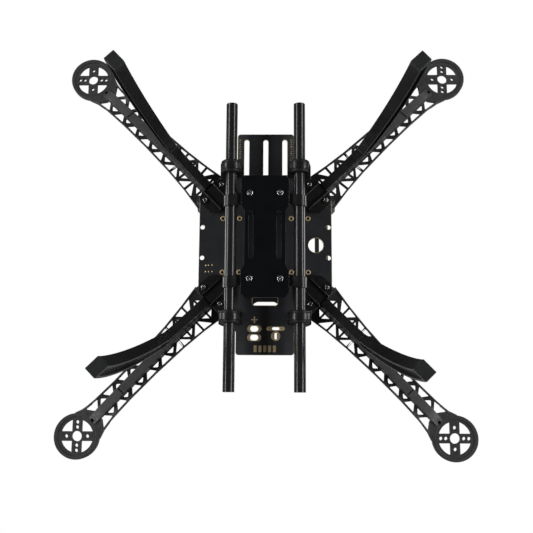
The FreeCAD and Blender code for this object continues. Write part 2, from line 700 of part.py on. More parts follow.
def leg(label, turn):
    """Landing leg: a pad under the lower plate, then a nearly level and a steep stretch of I-section."""
    body = new_body(f"leg_{label}")
    body.Placement = leaning(label, turn)
    sole = size("foot_thickness")
    foot_in = size("foot_start")
    foot_out = foot_in + size("foot_length")
    inner = LEG_INNER + [(foot_in, 6.0), (foot_in, sole)]
    outer = [(foot_out, sole), (foot_out, 6.0)] + LEG_OUTER
    strut = draw(new_sketch(body, f"{label}_strut", "XZ_Plane"), strut_outline(spread(label, inner + outer)))
    pad(body, strut, "2 * <leg_foot_half_width>", f"{label}_strut_pad", both_sides=True)

    root_half = size("leg_half_width")
    foot_half = size("leg_foot_half_width")
    taper = new_sketch(body, f"{label}_taper", lift="0")
    for side in (-1, 1):
        waste = [(60.0, root_half), (TAPER_START, root_half), (foot_in, foot_half), (foot_in, 9.0), (60.0, 9.0)]
        draw(taper, closed_outline([(along, side * across) for along, across in waste]))
    pocket(body, taper, "<plate_underside> + 4", f"{label}_taper_cut", upward=True)

    inner_rim = LEG_INNER_RIM + [(foot_in + 2.0, 9.0), (foot_in + 2.2, 6.0)]
    outer_rim = [(foot_out - 2.2, 6.0), (foot_out - 2.4, 9.0)] + LEG_OUTER_RIM
    for side, where in ((1, "right"), (-1, "left")):
        side_sketch = new_sketch(body, f"{label}_panel_{where}", "XZ_Plane", f"{side} * <leg_web_half>")
        draw(side_sketch, strut_outline(spread(label, inner_rim + outer_rim)))
        pocket(body, side_sketch, "10", f"{label}_panel_{where}_cut", upward=side > 0)

    flange = new_sketch(body, f"{label}_flange", lift="<plate_underside> - <leg_flange_thickness>")
    draw(flange, closed_outline(mirrored(LEG_FLANGE), 1.5))
    pad(body, flange, "<leg_flange_thickness>", f"{label}_flange_pad")
    rib_low = f"<plate_underside> - <leg_flange_thickness> - {RIB_HEIGHT}"
    ribs = new_sketch(body, f"{label}_ribs", lift=rib_low)
    for side in (-1, 1):
        draw(ribs, closed_outline([(along, side * across) for along, across in LEG_RIB]))
    pad(body, ribs, str(RIB_HEIGHT), f"{label}_rib_pads")
    holes = new_sketch(body, f"{label}_screw_holes", lift="<plate_underside> - 6")
    centres = [(size("leg_screw_reach"), side * size("leg_screw_offset")) for side in (-1, 1)]
    draw_screw_holes(holes, centres, LEG_HOLE)
    pocket(body, holes, "6", f"{label}_screw_cuts", upward=True)


def strut_outline(corners):
    """Side view of a strut: two bends on each face, as arcs through three points."""
    points = [FreeCAD.Vector(x, z, 0) for x, z in corners]
    return [
        Part.Arc(points[0], points[1], points[2]), Part.Arc(points[2], points[3], points[4]),
        Part.LineSegment(points[4], points[5]), Part.LineSegment(points[5], points[6]),
        Part.LineSegment(points[6], points[7]), Part.Arc(points[7], points[8], points[9]),
        Part.Arc(points[9], points[10], points[11]), Part.LineSegment(points[11], points[0])]


def foot_pad(label, turn):
    """Rubber pad glued under a leg."""
    box = doc.addObject("Part::Box", f"foot_{label}_box")
    bind(box, "Length", "<foot_length>")
    bind(box, "Width", "2 * <leg_foot_half_width>")
    bind(box, "Height", "<foot_thickness>")
    near = size("foot_start") + size(f"spread_{label}")
    corner = FreeCAD.Placement(vector((near, -size("leg_foot_half_width"))), FreeCAD.Rotation())
    box.Placement = leaning(label, turn).multiply(corner)
    keep(box, f"foot_pad_{label}")


# ---------------------------------------------------------------- rails, hangers, tray

def rail(label, side):
    """Hollow tube along Y."""
    body = new_body(f"rail_{label}")
    profile = new_sketch(body, f"{label}_rail_profile", "XZ_Plane", "<rail_rear_end>")
    place = [(side * size("rail_half_gauge"), RAIL_AXIS)]
    draw_circles(profile, place, "rail_radius")
    draw_circles(profile, place, "rail_bore_radius")
    pad(body, profile, "<rail_rear_end> + <rail_front_end>", f"{label}_tube", reverse=True)


HANGER_NECK_HALF = 6.1
HANGER_FOOT_HALF = 10.4
HANGER_FOOT_HEIGHT = 2.2


def upright_box(middle, half, low, high):
    """A rectangle in a sketch across the rails."""
    left, right = middle - half, middle + half
    return closed_outline([(left, low), (right, low), (right, high), (left, high)])


def along_rail(body, name, reach, width):
    """A sketch across the rails, half the width behind the given place."""
    return new_sketch(body, name, "XZ_Plane", f"-({reach}) + ({width}) / 2")


def hanger(label, side, reach):
    """Eye round the rail's rubber ring, with a screwed foot under the lower plate."""
    body = new_body(f"rail_hanger_{label}")
    x = side * size("rail_half_gauge")
    under = size("plate_underside")
    eye = along_rail(body, f"{label}_eye", reach, "<hanger_width>")
    draw_circles(eye, [(x, RAIL_AXIS)], "hanger_radius")
    pad(body, eye, "<hanger_width>", f"{label}_eye_pad", reverse=True)
    neck = along_rail(body, f"{label}_neck", reach, "<hanger_width>")
    draw(neck, upright_box(x, HANGER_NECK_HALF, RAIL_AXIS, under))
    pad(body, neck, "<hanger_width>", f"{label}_neck_pad", reverse=True)
    foot = along_rail(body, f"{label}_foot", reach, "<ring_length>")
    draw(foot, upright_box(x, HANGER_FOOT_HALF, under - HANGER_FOOT_HEIGHT, under))
    pad(body, foot, "<ring_length>", f"{label}_foot_pad", reverse=True)
    bore = along_rail(body, f"{label}_bore", reach, "<hanger_width>")
    draw_circles(bore, [(x, RAIL_AXIS)], "hanger_eye_radius")
    pocket(body, bore, "<hanger_width>", f"{label}_bore_cut", upward=False)
    holes = new_sketch(body, f"{label}_hanger_holes", lift="<plate_underside>")
    places = [(x + step * size("hanger_screw_offset"), reach_value(reach)) for step in (-1, 1)]
    draw_screw_holes(holes, places, HANGER_HOLE)
    pocket(body, holes, "3", f"{label}_hanger_hole_cuts")


def reach_value(formula):
    """The value of a signed alias formula such as -<hanger_reach>."""
    sign = -1.0 if formula.startswith("-") else 1.0
    return sign * size(formula.strip("-<>"))


def rubber_ring(label, side, reach):
    """Grooved rubber ring pressed into a hanger's eye; the rail slides in it."""
    body = new_body(f"rubber_ring_{label}")
    half = size("ring_length") / 2.0
    seat = size("hanger_width") / 2.0
    bore = size("rail_radius") + size("running_clearance")
    lip = size("ring_lip_radius")
    eye = size("hanger_eye_radius")
    profile = new_sketch(body, f"{label}_ring_profile", "XY_Plane")
    draw(profile, closed_outline([
        (bore, -half), (lip - 0.8, -half), (lip, -half + 0.8), (lip, -seat), (eye, -seat),
        (eye, seat), (lip, seat), (lip, half - 0.8), (lip - 0.8, half), (bore, half)]))
    turned = body.newObject("PartDesign::Revolution", f"{label}_ring_turned")
    turned.Profile = profile
    turned.ReferenceAxis = (profile, ["V_Axis"])
    turned.Angle = 360.0
    bind(body, ".Placement.Base.x", f"{side} * <rail_half_gauge>")
    bind(body, ".Placement.Base.y", reach)
    bind(body, ".Placement.Base.z", "<plate_underside> - <rail_drop>")


def tray_clamp(label, side, reach):
    """Thin split clamp on a rail, with a sloping tongue that runs to a screwed lug on the tray."""
    body = new_body(f"tray_clamp_{label}")
    x = size("rail_half_gauge")
    tray_top = size("tray_underside") + size("tray_thickness")
    lug_top = tray_top + LUG_THICKNESS
    place = reach_value(reach)
    ahead = size("tray_screw_front") if place > 0 else -size("tray_screw_rear")
    sleeve = along_rail(body, f"{label}_sleeve", reach, "<clamp_width>")
    draw_circles(sleeve, [(side * x, RAIL_AXIS)], "clamp_radius")
    pad(body, sleeve, "<clamp_width>", f"{label}_sleeve_pad", reverse=True)

    half = size("clamp_width") / 2.0
    tongue = [
        (x, place - half), (x, place + half),
        (TONGUE_END, place + half + TONGUE_LEAN), (TONGUE_END, place - half + TONGUE_LEAN)]
    plan = new_sketch(body, f"{label}_tongue", lift="<plate_underside> - <rail_drop> - <clamp_radius>")
    draw(plan, closed_outline([(side * across, along) for across, along in tongue]))
    pad(body, plan, "<clamp_radius>", f"{label}_tongue_pad")
    tip = TONGUE_END - 1.0
    low = RAIL_AXIS - size("clamp_radius") - 0.5
    tip_low = lug_top - 1.4
    below = [(x - 0.6, low), (tip, low), (tip, tip_low), (TONGUE_END, tip_low)]
    high = RAIL_AXIS + 1.0
    above = [(x - 5.5, high), (tip, high), (tip, lug_top), (TONGUE_END, lug_top)]
    for name, corners in (("slope", below), ("relief", above)):
        cut = along_rail(body, f"{label}_{name}", reach, CUT_LENGTH)
        draw(cut, closed_outline([(side * across, height) for across, height in corners]))
        pocket(body, cut, CUT_LENGTH, f"{label}_{name}_cut")

    screw_across = size("tray_screw_offset")
    near, far = sorted((ahead, place + TONGUE_LEAN))
    rear, front = near - LUG_HALF, far + LUG_HALF
    inner, outer = screw_across - LUG_HALF, TONGUE_END + 1.0
    lug = new_sketch(body, f"{label}_lug", lift="<tray_underside> + <tray_thickness>")
    draw(lug, closed_outline([
        (side * inner, rear), (side * outer, rear), (side * outer, front), (side * inner, front)], 1.5))
    pad(body, lug, str(LUG_THICKNESS), f"{label}_lug_pad")

    bore = along_rail(body, f"{label}_clamp_bore", reach, CUT_LENGTH)
    bore_radius = size("rail_radius") + size("running_clearance")
    rim = Part.Circle(vector((side * x, RAIL_AXIS)), FreeCAD.Vector(0, 0, 1), bore_radius)
    rule = bore.addConstraint(Sketcher.Constraint("Radius", bore.addGeometry(rim, False), bore_radius))
    bind(bore, f"Constraints[{rule}]", "<rail_radius> + <running_clearance>")
    pocket(body, bore, CUT_LENGTH, f"{label}_clamp_bore_cut")
    hole = new_sketch(body, f"{label}_clamp_hole", lift="<tray_underside>")
    draw_screw_holes(hole, [(side * screw_across, ahead)], M3_HOLE)
    pocket(body, hole, "6", f"{label}_clamp_hole_cut", upward=True)


def battery_tray():
    """Waisted plate under the rails, with two strap slots."""
    body = new_body("battery_tray")
    right = [
        (17.6, 56.7), (20.8, 53.6), (20.8, 30.0), (17.8, 25.0), (17.8, -22.0), (20.8, -26.5),
        (20.8, -46.6), (17.0, -50.0)]
    outline = new_sketch(body, "tray_outline", lift="<tray_underside>")
    draw(outline, closed_outline(both_hands(right), 2.0))
    pad(body, outline, "<tray_thickness>", "tray_slab")
    openings = new_sketch(body, "tray_openings", lift="<tray_underside>")
    for side in (-1, 1):
        draw(openings, slot_outline((side * 12.0, 2.6), 38.8, 3.8, 90.0))
        draw_screw_holes(openings, [(side * 12.2, 24.4)], 1.2)
    draw_screw_holes(openings, TRAY_SCREWS, M3_HOLE)
    pocket(body, openings, "<tray_thickness>", "tray_cuts", upward=True)


# ---------------------------------------------------------------- fasteners

# Screws as head radius, head height and shank radius; nuts as corner radius, height and bore.
M3_LEG_SCREW = (2.35, 1.5, 1.5)
M3_TRAY_SCREW = (2.9, 1.7, 1.5)
M2_5_SCREW = (2.3, 1.4, 1.2)
M2_SCREW = (1.9, 1.3, 1.0)
M3_NUT = (3.1, 2.4, 1.5)
M2_NUT = (2.3, 1.6, 1.0)


def at(item, place, height):
    item.Placement = FreeCAD.Placement(vector(place, height), FreeCAD.Rotation())
    return item


def cylinder(name, radius, length, place, height):
    item = doc.addObject("Part::Cylinder", name)
    item.Radius = radius
    item.Height = length
    return at(item, place, height)


def joined(name, kind, first, second):
    item = doc.addObject(kind, name)
    item.Base = first
    item.Tool = second
    return item


def screw(name, place, seat, sizes, shank_length, drive, down):
    """A screw whose head sits on a face: down is True when the head hangs below that face."""
    head_radius, head_height, shank_radius = sizes
    head_low = seat - head_height if down else seat
    shank_low = seat if down else seat - shank_length
    head = cylinder(f"{name}_head", head_radius, head_height, place, head_low)
    shank = cylinder(f"{name}_shank", shank_radius, shank_length, place, shank_low)
    whole = joined(f"{name}_blank", "Part::Fuse", head, shank)
    depth = 0.6 * head_height
    drive_low = head_low if down else head_low + head_height - depth
    if drive == "hex":
        key = doc.addObject("Part::Prism", f"{name}_key")
        key.Polygon = 6
        key.Circumradius = 0.5 * head_radius
        key.Height = depth
        at(key, place, drive_low)
    else:
        bars = []
        for number, turn in enumerate((20.0, 110.0)):
            bar = doc.addObject("Part::Box", f"{name}_bar_{number}")
            bar.Length = 1.3 * head_radius
            bar.Width = 0.28 * head_radius
            bar.Height = depth
            rotation = FreeCAD.Rotation(FreeCAD.Vector(0, 0, 1), turn)
            corner = rotation.multVec(FreeCAD.Vector(-0.65 * head_radius, -0.14 * head_radius, 0))
            bar.Placement = FreeCAD.Placement(vector(place, drive_low) + corner, rotation)
            bars.append(bar)
        key = joined(f"{name}_key", "Part::Fuse", *bars)
    return joined(name, "Part::Cut", whole, key)


def nut(name, place, seat, sizes):
    """A hexagon nut standing on a face."""
    circumradius, height, bore = sizes
    blank = doc.addObject("Part::Prism", f"{name}_blank")
    blank.Polygon = 6
    blank.Circumradius = circumradius
    blank.Height = height
    at(blank, place, seat)
    return joined(name, "Part::Cut", blank, cylinder(f"{name}_bore", bore, height, place, seat))


def sleeve(name, place, low, outer, inner, length):
    """A plain threaded sleeve."""
    blank = cylinder(f"{name}_blank", outer, length, place, low)
    return joined(name, "Part::Cut", blank, cylinder(f"{name}_bore", inner, length, place, low))


def fasteners():
    under = size("plate_underside")
    flange_low = under - size("leg_flange_thickness")
    hanger_foot_low = under - HANGER_FOOT_HEIGHT
    tray_low = size("tray_underside")
    lug_top = tray_low + size("tray_thickness") + LUG_THICKNESS
    insert_length = INSERT_DEPTH - 0.5
    upper_insert_low = UPPER_UNDERSIDE - insert_length
    group("leg_screws", [
        screw(f"leg_screw_{n}", place, flange_low, M3_LEG_SCREW, 9.5, "hex", True)
        for n, place in enumerate(LEG_SCREWS)])
    group("upper_plate_screws", [
        screw(f"upper_screw_{n}", place, UPPER_TOP, M2_5_SCREW, 7.0, "hex", False)
        for n, place in enumerate(TOP_SCREWS)])
    group("tray_screws", [
        screw(f"tray_screw_{n}", place, tray_low, M3_TRAY_SCREW, 8.4, "cross", True)
        for n, place in enumerate(TRAY_SCREWS)])
    group("tray_nuts", [
        nut(f"tray_nut_{n}", place, lug_top, M3_NUT) for n, place in enumerate(TRAY_SCREWS)])
    group("hanger_screws", [
        screw(f"hanger_screw_{n}", place, hanger_foot_low, M2_SCREW, 6.6, "cross", True)
        for n, place in enumerate(HANGER_SCREWS)])
    group("hanger_nuts", [
        nut(f"hanger_nut_{n}", place, PLATE_TOP, M2_NUT) for n, place in enumerate(HANGER_SCREWS)])
    group("lower_inserts", [
        sleeve(f"lower_insert_{n}", place, PLATE_TOP, INSERT_RADIUS, 1.5, insert_length)
        for n, place in enumerate(LEG_SCREWS)])
    group("upper_inserts", [
        sleeve(f"upper_insert_{n}", place, upper_insert_low, TOP_INSERT_RADIUS, 1.2, insert_length)
        for n, place in enumerate(TOP_SCREWS)])


# ---------------------------------------------------------------- assembly

lower_plate()
upper_plate()
gold_solids()
battery_tray()
for corner_label, corner_turn in CORNERS:
    arm(corner_label, corner_turn)
    leg(corner_label, corner_turn)
    foot_pad(corner_label, corner_turn)
for side_label, side_sign in (("left", -1), ("right", 1)):
    rail(side_label, side_sign)
    for end_label, end_sign in (("front", ""), ("rear", "-")):
        place_label = f"{end_label}_{side_label}"
        hanger(place_label, side_sign, f"{end_sign}<hanger_reach>")
        rubber_ring(place_label, side_sign, f"{end_sign}<hanger_reach>")
        tray_clamp(place_label, side_sign, f"{end_sign}<clamp_{end_label}_reach>")
fasteners()
doc.recompute()

for item in doc.Objects:
    if "Invalid" in item.State or "Error" in item.State:
        raise RuntimeError(f"{item.Name} failed: {item.State}")
for item in PARTS:
    if item.Shape.isNull() or not item.Shape.isValid():
        raise RuntimeError(f"{item.Label} has no valid shape")

os.makedirs("parts", exist_ok=True)
for item in PARTS:
    item.Shape.exportStep(f"parts/{item.Label}.step")
    print(f"{item.Label}: {len(item.Shape.Solids)} solids, {item.Shape.Volume:.1f} mm3")
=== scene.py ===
"""Looks of the quadcopter airframe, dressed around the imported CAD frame.

Metres, +Z up, +Y towards the nose.  The camera looks up at the airframe from below.
Mouldings, plates, nuts and plating are copies of their CAD nodes with worked edges.
Screws, rubber rings and rails are built afresh where their CAD nodes stand.
"""

import json
import math

import bmesh
import bpy
from mathutils import Euler, Matrix, Vector
from mathutils.geometry import delaunay_2d_cdt


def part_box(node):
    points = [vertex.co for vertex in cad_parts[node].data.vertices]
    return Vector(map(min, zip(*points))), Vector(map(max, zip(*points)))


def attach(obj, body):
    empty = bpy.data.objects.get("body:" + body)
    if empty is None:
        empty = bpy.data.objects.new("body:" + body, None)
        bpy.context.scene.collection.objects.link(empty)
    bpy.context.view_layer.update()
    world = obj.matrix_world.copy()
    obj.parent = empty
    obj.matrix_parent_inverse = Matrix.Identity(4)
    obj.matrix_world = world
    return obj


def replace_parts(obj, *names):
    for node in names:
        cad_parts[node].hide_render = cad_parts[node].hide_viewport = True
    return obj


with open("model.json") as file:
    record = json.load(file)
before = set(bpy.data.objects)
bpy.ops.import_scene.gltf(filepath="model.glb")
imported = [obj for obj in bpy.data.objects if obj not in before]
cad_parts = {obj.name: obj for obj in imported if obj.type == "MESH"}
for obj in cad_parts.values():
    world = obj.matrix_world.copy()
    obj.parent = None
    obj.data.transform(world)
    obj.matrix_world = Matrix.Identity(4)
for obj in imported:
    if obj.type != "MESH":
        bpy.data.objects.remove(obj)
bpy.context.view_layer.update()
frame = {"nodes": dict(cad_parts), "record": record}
NODES = frame["nodes"]
BODY_OF = {node: body for body, members in frame["record"]["behaviour"]["bodies"].items() for node in members}
SLOT_OF = {entry["node"]: entry["material_slot"] for entry in frame["record"]["subparts"]}
MM = 0.001
MATERIALS = {}


# ---------------------------------------------------------------- stage

WHITE = (1.0, 1.0, 1.0, 1.0)

CAMERA_PLACE = (-0.01248, -0.12067, -0.49084)
CAMERA_TURN = (-170.815, -0.994, 179.706)
FOCAL_LENGTH = 48.29
SENSOR_WIDTH = 36.0

BACKDROP_SEEN = 1.0
BACKDROP_GATHERED = 0.04

FLOOR_HALF = 6.0
FLOOR_TILES = 8
FLOOR_DROP = 0.0002
FLOOR_COLOUR = (0.42, 0.42, 0.42, 1.0)
FLOOR_GLOW = 0.50

# Name, place, width, depth and power in watts.  Left and right are the picture's, so left is towards +X.
# Every light looks at the middle of the airframe.
LIGHT_AIM = (0.0, 0.0, 0.13)
LIGHTS = (
    ("under_left", (0.98, 0.0, -0.45), 2.4, 0.16, 15.0),
    ("under_right", (-0.98, 0.0, -0.45), 2.4, 0.16, 15.0),
    ("top_soft", (0.0, -0.5, 1.6), 2.2, 1.8, 4.0),
    ("top_left", (1.7, 0.3, 0.9), 0.9, 0.9, 14.0),
    ("top_right", (-1.7, 0.3, 0.9), 0.9, 0.9, 14.0),
)


def make_camera():
    data = bpy.data.cameras.new("camera")
    data.sensor_width = SENSOR_WIDTH
    data.lens = FOCAL_LENGTH
    camera = bpy.data.objects.new("camera", data)
    camera.location = CAMERA_PLACE
    camera.rotation_euler = Euler([math.radians(angle) for angle in CAMERA_TURN], "XYZ")
    bpy.context.scene.collection.objects.link(camera)
    bpy.context.scene.camera = camera


def make_world():
    """White for the camera, and a dim white for what the object mirrors and gathers."""
    world = bpy.data.worlds.new("studio")
    world.use_nodes = True
    bpy.context.scene.world = world
    nodes, links = world.node_tree.nodes, world.node_tree.links
    nodes.clear()
    seen = nodes.new("ShaderNodeBackground")
    gathered = nodes.new("ShaderNodeBackground")
    for backdrop, strength in ((seen, BACKDROP_SEEN), (gathered, BACKDROP_GATHERED)):
        backdrop.inputs["Color"].default_value = WHITE
        backdrop.inputs["Strength"].default_value = strength
    path = nodes.new("ShaderNodeLightPath")
    mix = nodes.new("ShaderNodeMixShader")
    output = nodes.new("ShaderNodeOutputWorld")
    links.new(path.outputs["Is Camera Ray"], mix.inputs["Fac"])
    links.new(gathered.outputs[0], mix.inputs[1])
    links.new(seen.outputs[0], mix.inputs[2])
    links.new(mix.outputs[0], output.inputs["Surface"])


def make_light(name, place, width, depth, power):
    data = bpy.data.lights.new(name, "AREA")
    data.shape = "RECTANGLE"
    data.size = width
    data.size_y = depth
    data.energy = power
    light = bpy.data.objects.new(name, data)
    light.location = place
    light.rotation_euler = (Vector(LIGHT_AIM) - Vector(place)).to_track_quat("-Z", "Y").to_euler()
    bpy.context.scene.collection.objects.link(light)


def floor_paper():
    """Pale, slightly glowing paper on the upper side, clear from below for the low camera."""
    material = bpy.data.materials.new("floor_paper")
    material.use_nodes = True
    nodes, links = material.node_tree.nodes, material.node_tree.links
    nodes.clear()
    side = nodes.new("ShaderNodeNewGeometry")
    paper = nodes.new("ShaderNodeBsdfDiffuse")
    paper.inputs["Color"].default_value = FLOOR_COLOUR
    glow = nodes.new("ShaderNodeEmission")
    glow.inputs["Color"].default_value = WHITE
    glow.inputs["Strength"].default_value = FLOOR_GLOW
    lit = nodes.new("ShaderNodeAddShader")
    clear = nodes.new("ShaderNodeBsdfTransparent")
    mix = nodes.new("ShaderNodeMixShader")
    output = nodes.new("ShaderNodeOutputMaterial")
    links.new(side.outputs["Backfacing"], mix.inputs["Fac"])
    links.new(paper.outputs[0], lit.inputs[0])
    links.new(glow.outputs[0], lit.inputs[1])
    links.new(lit.outputs[0], mix.inputs[1])
    links.new(clear.outputs[0], mix.inputs[2])
    links.new(mix.outputs[0], output.inputs["Surface"])
    return material


def make_floor():
    """A floor that the camera sees and that throws nothing onto the airframe."""
    bm = bmesh.new()
    bmesh.ops.create_grid(bm, x_segments=FLOOR_TILES, y_segments=FLOOR_TILES, size=FLOOR_HALF)
    mesh = bpy.data.meshes.new("floor")
    bm.to_mesh(mesh)
    bm.free()
    floor = bpy.data.objects.new("floor", mesh)
    floor.location.z = -FLOOR_DROP
    floor.visible_shadow = False
    floor.visible_diffuse = False
    floor.visible_glossy = False
    bpy.context.scene.collection.objects.link(floor)
    mesh.materials.append(floor_paper())


def make_stage():
    bpy.context.scene.view_settings.view_transform = "Standard"
    make_camera()
    make_world()
    make_floor()
    for light in LIGHTS:
        make_light(*light)


# ---------------------------------------------------------------- materials

# A noise texture's values mostly lie between these two.
NOISE_LOW = 0.3
NOISE_HIGH = 0.7

# The upright part of a face's direction above which the face counts as a flat of the board.
BOARD_FLAT = 0.93


def tinted(colour, share):
    """A lighter or darker version of a colour."""
    return tuple(min(1.0, share * part) for part in colour)


class Paint:
    """A small builder for one procedural material."""

    def __init__(self, name, colour, roughness, metallic=0.0, specular=0.5):
        self.material = bpy.data.materials.new(name)
        self.material.use_nodes = True
        self.nodes = self.material.node_tree.nodes
        self.links = self.material.node_tree.links
        self.shader = self.nodes["Principled BSDF"]
        self.shader.inputs["Base Color"].default_value = (*colour, 1.0)
        self.shader.inputs["Roughness"].default_value = roughness
        self.shader.inputs["Metallic"].default_value = metallic
        self.shader.inputs["Specular IOR Level"].default_value = specular
        self.place = self.nodes.new("ShaderNodeTexCoord").outputs["Object"]

    def stretched(self, scale):
        """Object coordinates scaled per axis."""
        mapping = self.nodes.new("ShaderNodeMapping")
        mapping.inputs["Scale"].default_value = scale
        self.links.new(self.place, mapping.inputs["Vector"])
        return mapping.outputs["Vector"]

    def noise(self, scale, detail=3.0, rough=0.55, where=None):
        node = self.nodes.new("ShaderNodeTexNoise")
        node.inputs["Scale"].default_value = scale
        node.inputs["Detail"].default_value = detail
        node.inputs["Roughness"].default_value = rough
        self.links.new(where or self.place, node.inputs["Vector"])
        return node.outputs["Fac"]

    def ramp(self, value, low_colour, high_colour, low=NOISE_LOW, high=NOISE_HIGH):
        """A colour that runs from one to the other as the value runs from low to high."""
        node = self.nodes.new("ShaderNodeValToRGB")
        node.color_ramp.elements[0].position = low
        node.color_ramp.elements[1].position = high
        node.color_ramp.elements[0].color = (*low_colour, 1.0)
        node.color_ramp.elements[1].color = (*high_colour, 1.0)
        self.links.new(value, node.inputs["Fac"])
        return node.outputs["Color"]

    def span(self, value, out_low, out_high, low=NOISE_LOW, high=NOISE_HIGH):
        """A number that runs from out_low to out_high as the value runs from low to high."""
        node = self.nodes.new("ShaderNodeMapRange")
        node.inputs["From Min"].default_value = low
        node.inputs["From Max"].default_value = high
        node.inputs["To Min"].default_value = out_low
        node.inputs["To Max"].default_value = out_high
        self.links.new(value, node.inputs["Value"])
        return node.outputs["Result"]

    def maths(self, operation, first, second):
        node = self.nodes.new("ShaderNodeMath")
        node.operation = operation
        for slot, value in zip(node.inputs, (first, second)):
            if isinstance(value, (int, float)):
                slot.default_value = value
            else:
                self.links.new(value, slot)
        return node.outputs["Value"]

    def mix_colour(self, factor, first, second):
        node = self.nodes.new("ShaderNodeMix")
        node.data_type = "RGBA"
        self.links.new(factor, node.inputs["Factor"])
        self.links.new(first, node.inputs["A"])
        self.links.new(second, node.inputs["B"])
        return node.outputs["Result"]

    def normal_axis(self, axis):
        """One component of the direction a face looks in, whatever its shading is smoothed to."""
        geometry = self.nodes.new("ShaderNodeNewGeometry")
        split = self.nodes.new("ShaderNodeSeparateXYZ")
        self.links.new(geometry.outputs["True Normal"], split.inputs["Vector"])
        return split.outputs[axis]

    def bump(self, value, depth, strength=1.0):
        """Bump of a depth in metres, on top of any bump the paint already has."""
        node = self.nodes.new("ShaderNodeBump")
        node.inputs["Distance"].default_value = depth
        node.inputs["Strength"].default_value = strength
        self.links.new(value, node.inputs["Height"])
        if self.shader.inputs["Normal"].is_linked:
            self.links.new(self.shader.inputs["Normal"].links[0].from_socket, node.inputs["Normal"])
        self.links.new(node.outputs["Normal"], self.shader.inputs["Normal"])

    def drive(self, socket, value):
        self.links.new(value, self.shader.inputs[socket])


def moulded(name, colour, roughness, grain_depth):
    """Glass filled nylon: fine spark-eroded grain and a faint cloudiness."""
    paint = Paint(name, colour, roughness)
    cloud = paint.noise(scale=38.0, detail=4.0)
    polish = paint.noise(scale=220.0, detail=2.0)
    paint.drive("Base Color", paint.ramp(cloud, tinted(colour, 0.78), tinted(colour, 1.25), high=0.72))
    paint.drive("Roughness", paint.span(polish, roughness - 0.06, roughness + 0.07))
    paint.bump(paint.noise(scale=2600.0, detail=2.0), grain_depth)
    paint.bump(paint.noise(scale=90.0, detail=2.0), depth=0.06 * MM, strength=0.6)
    return paint.material


def board_paint():
    """Black solder mask over copper on a tan laminate, which shows at every cut edge."""
    paint = Paint("board_mask", (0.012, 0.012, 0.014), 0.30)
    facing = paint.maths("ABSOLUTE", paint.normal_axis("Z"), 0.0)
    edge = paint.maths("LESS_THAN", facing, BOARD_FLAT)
    mask = paint.ramp(paint.noise(scale=60.0), (0.026, 0.027, 0.030), (0.037, 0.039, 0.043))
    laminate = paint.ramp(paint.noise(scale=900.0, detail=2.0), (0.30, 0.25, 0.12), (0.46, 0.40, 0.22))
    paint.drive("Base Color", paint.mix_colour(edge, mask, laminate))
    paint.drive("Roughness", paint.span(paint.noise(scale=300.0), 0.30, 0.40))
    paint.bump(paint.noise(scale=1500.0, detail=2.0), depth=0.012 * MM)
    return paint.material


def tray_paint():
    """Near black laminate with a very slight blue cast."""
    paint = Paint("tray_laminate", (0.002, 0.002, 0.0025), 0.26)
    cloud = paint.noise(scale=60.0)
    paint.drive("Base Color", paint.ramp(cloud, (0.0018, 0.0024, 0.0034), (0.0034, 0.0042, 0.0056)))
    paint.bump(paint.noise(scale=1400.0, detail=2.0), depth=0.01 * MM)
    return paint.material


def tube_paint():
    """Pulled carbon tube: long streaks along the fibre under a satin skin."""
    paint = Paint("carbon_tube", (0.012, 0.012, 0.013), 0.22)
    along_fibre = paint.stretched((2400.0, 14.0, 2400.0))
    streaks = paint.noise(scale=1.0, detail=4.0, rough=0.6, where=along_fibre)
    paint.drive("Base Color", paint.ramp(streaks, (0.008, 0.008, 0.009), (0.020, 0.020, 0.021), high=0.75))
    paint.drive("Roughness", paint.span(streaks, 0.18, 0.28, low=0.2, high=0.8))
    paint.bump(streaks, depth=0.02 * MM, strength=0.5)
    return paint.material


def rubber_paint(name, colour):
    paint = Paint(name, colour, 0.50, specular=0.4)
    cloud = paint.noise(scale=150.0)
    paint.drive("Base Color", paint.ramp(cloud, tinted(colour, 0.8), tinted(colour, 1.3)))
    paint.bump(paint.noise(scale=1800.0), depth=0.04 * MM)
    return paint.material


def metal_paint(name, colour, roughness, metallic=1.0):
    """Turned or plated metal with fine scratches; dull plating is less than fully metallic."""
    paint = Paint(name, colour, roughness, metallic)
    across_scratches = paint.stretched((900.0, 2600.0, 900.0))
    scratches = paint.noise(scale=1.0, detail=3.0, rough=0.6, where=across_scratches)
    cloud = paint.noise(scale=500.0)
    paint.drive("Roughness", paint.span(scratches, roughness - 0.05, roughness + 0.09))
    paint.drive("Base Color", paint.ramp(
        cloud, tinted(colour, 0.86), tinted(colour, 1.08), low=0.25, high=0.75))
    paint.bump(scratches, depth=0.008 * MM)
    return paint.material


def make_materials():
    """One material for each slot of the record."""
    return {
        "board": board_paint(),
        "gold": metal_paint("gold_plate", (0.95, 0.74, 0.44), 0.42, metallic=0.72),
        "arm_nylon": moulded("arm_nylon", (0.030, 0.030, 0.032), 0.44, grain_depth=0.03 * MM),
        "leg_nylon": moulded("leg_nylon", (0.006, 0.006, 0.0065), 0.38, grain_depth=0.015 * MM),
        "foot_rubber": rubber_paint("foot_rubber", (0.014, 0.017, 0.016)),
        "carbon_tube": tube_paint(),
        "fitting_plastic": moulded(
            "fitting_plastic", (0.009, 0.009, 0.0095), 0.30, grain_depth=0.01 * MM),
        "ring_rubber": rubber_paint("ring_rubber", (0.008, 0.008, 0.009)),
        "tray_laminate": tray_paint(),
        "steel": metal_paint("steel", (0.60, 0.60, 0.61), 0.20),
        "black_steel": metal_paint("black_steel", (0.05, 0.05, 0.052), 0.34),
        "brass": metal_paint("brass", (0.72, 0.56, 0.28), 0.3),
    }


def dress(item, slot):
    """Give a piece or a CAD node the one material of its slot."""
    item.data.materials.clear()
    item.data.materials.append(MATERIALS[slot])


# ---------------------------------------------------------------- mesh helpers

